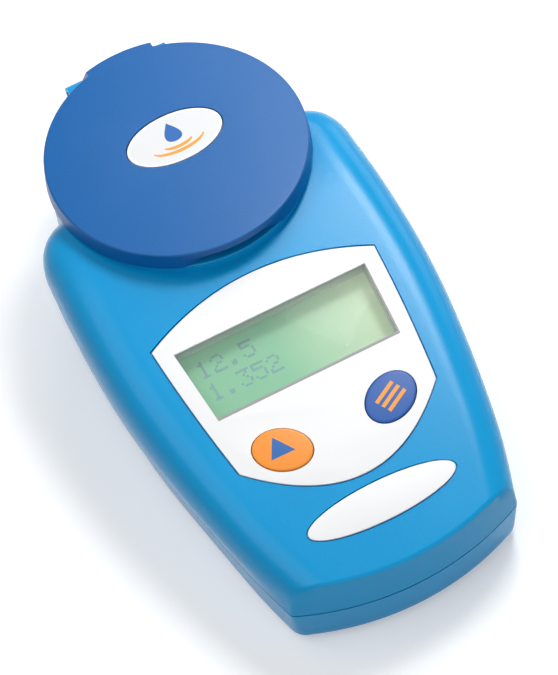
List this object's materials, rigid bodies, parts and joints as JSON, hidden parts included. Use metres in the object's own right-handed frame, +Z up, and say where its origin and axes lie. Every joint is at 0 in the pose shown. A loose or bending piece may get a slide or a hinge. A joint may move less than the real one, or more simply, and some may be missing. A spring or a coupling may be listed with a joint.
{
  "type": "digital refractometer",
  "caption": "Palm-sized bench refractometer with a hinged round lid over a steel sample well, a sloping deck with a character display and two oval keys.",
  "frame": {"origin": "middle of the footprint, on the plane that the feet stand on", "axes": "+Z up, +Y from the display end towards the lid's hinge, +X to the right of someone who reads the display"},
  "size_m": [0.076, 0.1398, 0.042],
  "materials": {
    "case_blue": "satin, fine grain",
    "lid_blue": "satin, fine grain",
    "panel_white": "smooth printed film",
    "key_orange": "satin",
    "key_blue": "satin",
    "clear_window": "clear, polished",
    "bezel_grey": "matt",
    "display_green": "liquid crystal glass",
    "steel": "satin",
    "prism_glass": "polished",
    "seal_rubber": "matt",
    "black_plastic": "matt",
    "white_plastic": "matt",
    "board_green": "solder mask",
    "cell_wrap": "printed sleeve"
  },
  "bodies": {
    "case": {"upper_shell": "case_blue", "lower_shell": "case_blue", "hinge_pin": "steel", "sample_dish": "steel", "measuring_prism": "prism_glass", "prism_seal": "seal_rubber", "optics_block": "black_plastic", "lamp_housing": "white_plastic", "image_sensor": "black_plastic", "sensor_board": "board_green", "flat_cable": "white_plastic", "keypad_overlay": "panel_white", "front_plate": "panel_white", "display_window": "clear_window", "display_bezel": "bezel_grey", "display_glass": "display_green", "display_backlight": "white_plastic", "start_switch": "black_plastic", "menu_switch": "black_plastic", "main_board": "board_green", "processor": "black_plastic", "cell_left": "cell_wrap", "cell_right": "cell_wrap", "contact_bridge": "steel", "contact_left": "steel", "contact_right": "steel", "spring_left": "steel", "spring_right": "steel", "case_screw_1": "steel", "case_screw_2": "steel", "case_screw_3": "steel", "case_screw_4": "steel", "foot_1": "seal_rubber", "foot_2": "seal_rubber", "foot_3": "seal_rubber", "foot_4": "seal_rubber"},
    "lid": {"lid_cover": "lid_blue", "lid_badge": "panel_white", "lid_seal": "seal_rubber"},
    "start_button": {"start_key": "key_orange"},
    "menu_button": {"menu_key": "key_blue"},
    "battery_cover": {"battery_door": "case_blue"}
  },
  "joints": [
    {"name": "lid_hinge", "type": "hinge", "parent": "case", "child": "lid", "pos_m": [0, 0.06767, 0.0334], "axis": [-1, 0, 0], "range_deg": [0, 110]},
    {"name": "start_press", "type": "slide", "parent": "case", "child": "start_button", "axis": [0, 0.1684, -0.9857], "range_m": [0, 0.0004], "stiffness_N_per_m": 1500},
    {"name": "menu_press", "type": "slide", "parent": "case", "child": "menu_button", "axis": [0, 0.1684, -0.9857], "range_m": [0, 0.0004], "stiffness_N_per_m": 1500},
    {"name": "battery_door_lift", "type": "slide", "parent": "case", "child": "battery_cover", "axis": [0, 0, -1], "range_m": [0, 0.02]}
  ]
}
